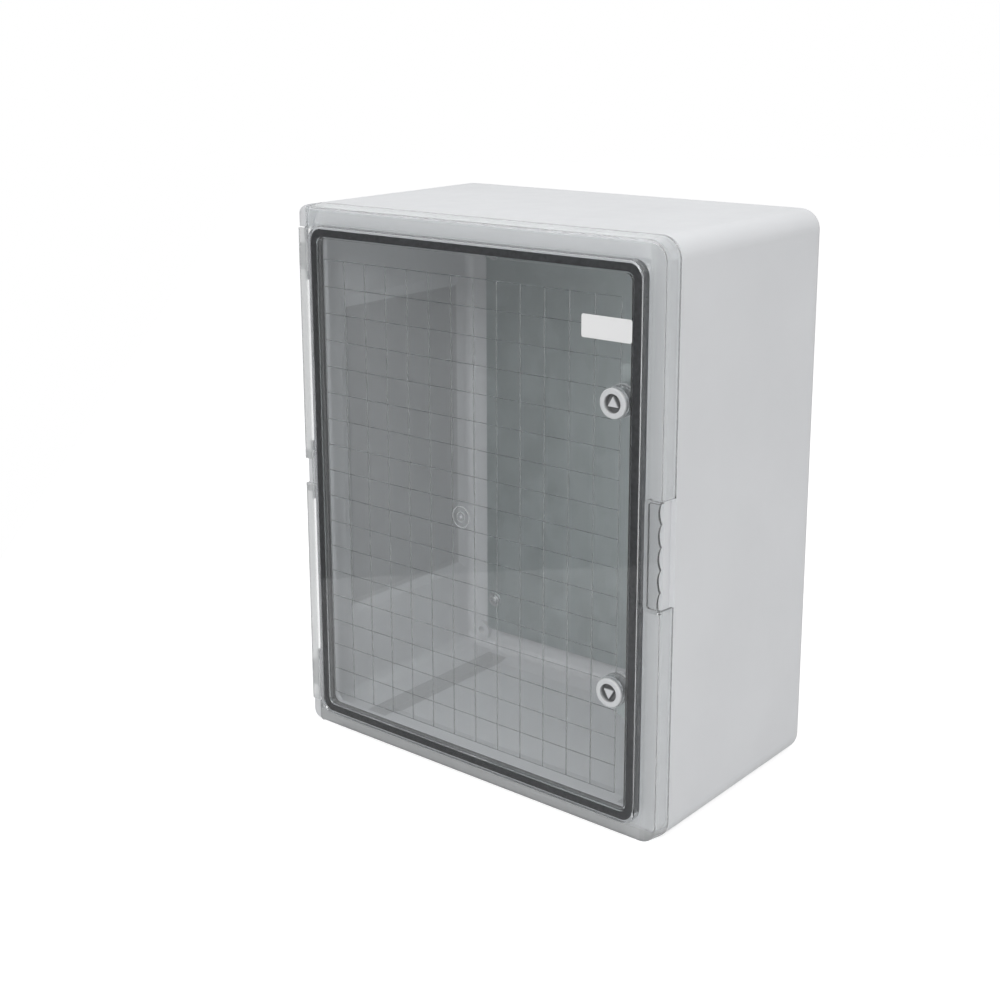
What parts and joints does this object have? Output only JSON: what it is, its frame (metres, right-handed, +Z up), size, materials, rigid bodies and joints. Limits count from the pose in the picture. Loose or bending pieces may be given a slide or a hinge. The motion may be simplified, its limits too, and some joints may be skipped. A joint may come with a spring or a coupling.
{
  "type": "wall enclosure",
  "caption": "Grey moulded wall enclosure for electrical gear, with a clear hinged door, quarter-turn locks, foam seal and a galvanised mounting plate inside.",
  "frame": {"origin": "middle of the footprint at the bottom of the box", "axes": "+Z up, +X to the right seen from the front, -Y out of the door, +Y into the wall"},
  "size_m": [0.4, 0.253, 0.5],
  "materials": {
    "base_plastic": "fine moulded grain, light grey",
    "clear_plastic": "clear and slightly smoky",
    "seal_foam": "matt black foam",
    "steel": "bright zinc",
    "galvanised": "galvanised sheet",
    "brass": "plain",
    "lock_plastic": "satin light grey"
  },
  "bodies": {
    "base": {"base_body": "base_plastic", "mounting_plate": "galvanised", "plate_screws": "steel", "plate_washers": "steel", "plate_inserts": "brass", "hinge_pin_upper": "steel", "hinge_pin_middle": "steel", "hinge_pin_lower": "steel"},
    "door_leaf": {"door": "clear_plastic", "door_seal": "seal_foam", "upper_lock_housing": "lock_plastic", "upper_lock_seal": "seal_foam", "upper_lock_nut": "lock_plastic", "lower_lock_housing": "lock_plastic", "lower_lock_seal": "seal_foam", "lower_lock_nut": "lock_plastic"},
    "upper_lock": {"upper_lock_rotor": "lock_plastic", "upper_lock_cam": "galvanised", "upper_cam_screw": "steel"},
    "lower_lock": {"lower_lock_rotor": "lock_plastic", "lower_lock_cam": "galvanised", "lower_cam_screw": "steel"}
  },
  "joints": [
    {"name": "door_hinge", "type": "hinge", "parent": "base", "child": "door_leaf", "pos_m": [-0.1935, -0.1063, 0.25], "axis": [0, 0, -1], "range_deg": [0, 170]},
    {"name": "upper_lock_turn", "type": "hinge", "parent": "door_leaf", "child": "upper_lock", "pos_m": [0.158, -0.1235, 0.37], "axis": [0, 1, 0], "range_deg": [0, 90]},
    {"name": "lower_lock_turn", "type": "hinge", "parent": "door_leaf", "child": "lower_lock", "pos_m": [0.158, -0.1235, 0.13], "axis": [0, -1, 0], "range_deg": [0, 90]}
  ]
}
